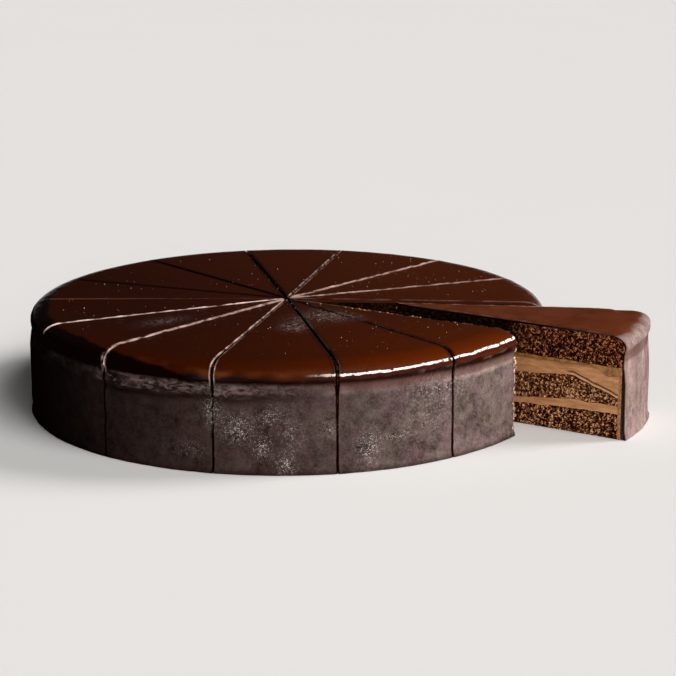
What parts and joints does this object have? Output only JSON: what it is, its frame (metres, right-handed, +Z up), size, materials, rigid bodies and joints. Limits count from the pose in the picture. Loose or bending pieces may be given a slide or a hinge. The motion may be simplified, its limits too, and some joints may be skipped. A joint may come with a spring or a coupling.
{
  "type": "sachertorte cake",
  "caption": "Round glazed chocolate layer cake, cut into slices, with one slice drawn part of the way out of its slot so that its sponge, cream and jam layers show.",
  "frame": {"origin": "on the surface that the cake stands on, under the middle of the box around the cake and its drawn slice", "axes": "+X towards the rim end of the drawn slice and along the longest side, +Y towards the back of the cake, +Z up"},
  "size_m": [0.314, 0.2624, 0.0527],
  "materials": {
    "chocolate_glaze": "glossy dark chocolate glaze on top, dull with a grey bloom down the side",
    "chocolate_sponge": "open, crumbly dark chocolate sponge",
    "nut_sponge": "open, crumbly lighter chocolate and nut sponge",
    "chocolate_cream": "smooth light chocolate cream, smeared by the knife",
    "apricot_jam": "thin brown gold fruit jam, soaked into the sponge"
  },
  "bodies": {
    "root": {"slice_01_glaze": "chocolate_glaze", "slice_01_top_sponge": "chocolate_sponge", "slice_01_jam": "apricot_jam", "slice_01_upper_cream": "chocolate_cream", "slice_01_middle_sponge": "nut_sponge", "slice_01_lower_cream": "chocolate_cream", "slice_01_bottom_sponge": "chocolate_sponge", "slice_02": "chocolate_glaze", "slice_03": "chocolate_glaze", "slice_04": "chocolate_glaze", "slice_05": "chocolate_glaze", "slice_06": "chocolate_glaze", "slice_07": "chocolate_glaze", "slice_08": "chocolate_glaze", "slice_09": "chocolate_glaze", "slice_10": "chocolate_glaze", "slice_11": "chocolate_glaze", "slice_12": "chocolate_glaze", "slice_13_glaze": "chocolate_glaze", "slice_13_top_sponge": "chocolate_sponge", "slice_13_jam": "apricot_jam", "slice_13_upper_cream": "chocolate_cream", "slice_13_middle_sponge": "nut_sponge", "slice_13_lower_cream": "chocolate_cream", "slice_13_bottom_sponge": "chocolate_sponge", "drawn_slice_glaze": "chocolate_glaze", "drawn_slice_top_sponge": "chocolate_sponge", "drawn_slice_jam": "apricot_jam", "drawn_slice_upper_cream": "chocolate_cream", "drawn_slice_middle_sponge": "nut_sponge", "drawn_slice_lower_cream": "chocolate_cream", "drawn_slice_bottom_sponge": "chocolate_sponge"}
  },
  "joints": []
}
